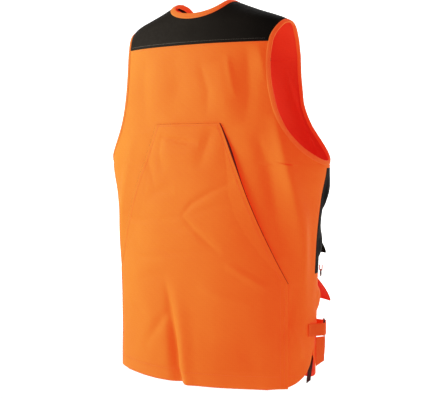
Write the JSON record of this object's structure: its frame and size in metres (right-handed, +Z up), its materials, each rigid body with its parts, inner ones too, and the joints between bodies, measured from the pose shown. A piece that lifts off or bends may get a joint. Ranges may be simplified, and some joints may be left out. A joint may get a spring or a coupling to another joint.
{
  "type": "hunting vest",
  "caption": "Sleeveless zip-front field vest in blaze orange with a dark yoke, cargo and chest pockets, side straps and a game pouch.",
  "frame": {"origin": "middle of the shoulder line, where the wearer's shoulders or a hanger carry the vest", "axes": "+Z up, +Y towards the wearer's back, +X towards the wearer's left; the front zip faces -Y"},
  "size_m": [0.5224, 0.2593, 0.76],
  "materials": {
    "blaze_cloth": "blaze orange tight-woven polyester with a slight sheen",
    "umber_cloth": "dark brown-black tight-woven shell cloth",
    "binding_tape": "folded orange binding tape",
    "zip_tape": "dark knitted zip tape with moulded teeth",
    "blaze_webbing": "orange woven webbing",
    "dark_webbing": "dark woven webbing",
    "snap_metal": "dark lacquered steel",
    "zip_metal": "dark lacquered die-cast metal",
    "black_plastic": "moulded acetal"
  },
  "bodies": {
    "vest": {"back_panel": "blaze_cloth", "game_pouch": "blaze_cloth", "front_upper_left": "blaze_cloth", "front_lower_left": "blaze_cloth", "cargo_pocket_left": "blaze_cloth", "front_yoke_left": "umber_cloth", "chest_panel_left": "umber_cloth", "chest_pocket_left": "umber_cloth", "armhole_binding_left": "binding_tape", "zip_tape_left": "zip_tape", "cargo_snap_stud_left": "snap_metal", "chest_snap_stud_left": "snap_metal", "strap_tab_left": "blaze_webbing", "strap_webbing_left": "blaze_webbing", "ring_tab_left": "blaze_webbing", "strap_buckle_left": "black_plastic", "front_upper_right": "blaze_cloth", "front_lower_right": "blaze_cloth", "cargo_pocket_right": "blaze_cloth", "front_yoke_right": "umber_cloth", "chest_panel_right": "umber_cloth", "chest_pocket_right": "umber_cloth", "armhole_binding_right": "binding_tape", "zip_tape_right": "zip_tape", "cargo_snap_stud_right": "snap_metal", "chest_snap_stud_right": "snap_metal", "strap_tab_right": "blaze_webbing", "strap_webbing_right": "blaze_webbing", "ring_tab_right": "blaze_webbing", "strap_buckle_right": "black_plastic", "back_yoke": "umber_cloth", "neck_binding": "binding_tape", "zip_box": "black_plastic"},
    "zip_slider": {"zip_slider": "zip_metal"},
    "zip_pull": {"zip_pull": "zip_metal"},
    "hang_loop": {"hang_loop": "dark_webbing"},
    "cargo_flap_left": {"cargo_flap_left": "blaze_cloth", "cargo_snap_cap_left": "snap_metal"},
    "chest_flap_left": {"chest_flap_left": "umber_cloth", "chest_snap_cap_left": "snap_metal"},
    "strap_tail_left": {"strap_tail_left": "blaze_webbing"},
    "side_ring_left": {"side_ring_left": "snap_metal"},
    "hem_tab_left": {"hem_tab_left": "dark_webbing"},
    "cargo_flap_right": {"cargo_flap_right": "blaze_cloth", "cargo_snap_cap_right": "snap_metal"},
    "chest_flap_right": {"chest_flap_right": "umber_cloth", "chest_snap_cap_right": "snap_metal"},
    "strap_tail_right": {"strap_tail_right": "blaze_webbing"},
    "side_ring_right": {"side_ring_right": "snap_metal"},
    "hem_tab_right": {"hem_tab_right": "dark_webbing"}
  },
  "joints": [
    {"name": "zip_slide", "type": "slide", "parent": "vest", "child": "zip_slider", "axis": [0, -0.0243, -0.9997], "range_m": [0, 0.588]},
    {"name": "zip_pull_swing", "type": "hinge", "parent": "zip_slider", "child": "zip_pull", "pos_m": [0, -0.12604, -0.12939], "axis": [-1, 0, 0], "range_deg": [0, 160]},
    {"name": "hang_loop_swing", "type": "hinge", "parent": "vest", "child": "hang_loop", "pos_m": [0, 0.0555, -0.0432], "axis": [-1, 0, 0], "range_deg": [0, 90]},
    {"name": "cargo_flap_lift_left", "type": "hinge", "parent": "vest", "child": "cargo_flap_left", "pos_m": [0.1544, -0.11006, -0.55], "axis": [-0.9281, -0.3723, 0], "range_deg": [0, 95]},
    {"name": "chest_flap_lift_left", "type": "hinge", "parent": "vest", "child": "chest_flap_left", "pos_m": [0.1586, -0.10829, -0.464], "axis": [-0.9312, -0.3645, 0], "range_deg": [0, 120]},
    {"name": "strap_tail_swing_left", "type": "hinge", "parent": "vest", "child": "strap_tail_left", "pos_m": [0.23527, -0.04805, -0.6635], "axis": [0.4128, -0.9108, 0], "range_deg": [0, 70]},
    {"name": "side_ring_swing_left", "type": "hinge", "parent": "vest", "child": "side_ring_left", "pos_m": [0.22614, -0.06515, -0.531], "axis": [-0.5833, -0.8122, 0], "range_deg": [0, 120]},
    {"name": "hem_tab_swing_left", "type": "hinge", "parent": "vest", "child": "hem_tab_left", "pos_m": [0.22049, -0.03811, -0.7], "axis": [-0.2205, 0.9754, 0], "range_deg": [0, 80]},
    {"name": "cargo_flap_lift_right", "type": "hinge", "parent": "vest", "child": "cargo_flap_right", "pos_m": [-0.1544, -0.11006, -0.55], "axis": [-0.9281, 0.3723, 0], "range_deg": [0, 95]},
    {"name": "chest_flap_lift_right", "type": "hinge", "parent": "vest", "child": "chest_flap_right", "pos_m": [-0.1586, -0.10829, -0.464], "axis": [-0.9312, 0.3645, 0], "range_deg": [0, 120]},
    {"name": "strap_tail_swing_right", "type": "hinge", "parent": "vest", "child": "strap_tail_right", "pos_m": [-0.23527, -0.04805, -0.6635], "axis": [0.4128, 0.9108, 0], "range_deg": [0, 70]},
    {"name": "side_ring_swing_right", "type": "hinge", "parent": "vest", "child": "side_ring_right", "pos_m": [-0.22614, -0.06515, -0.531], "axis": [-0.5833, 0.8122, 0], "range_deg": [0, 120]},
    {"name": "hem_tab_swing_right", "type": "hinge", "parent": "vest", "child": "hem_tab_right", "pos_m": [-0.22049, -0.03811, -0.7], "axis": [-0.2205, -0.9754, 0], "range_deg": [0, 80]}
  ]
}
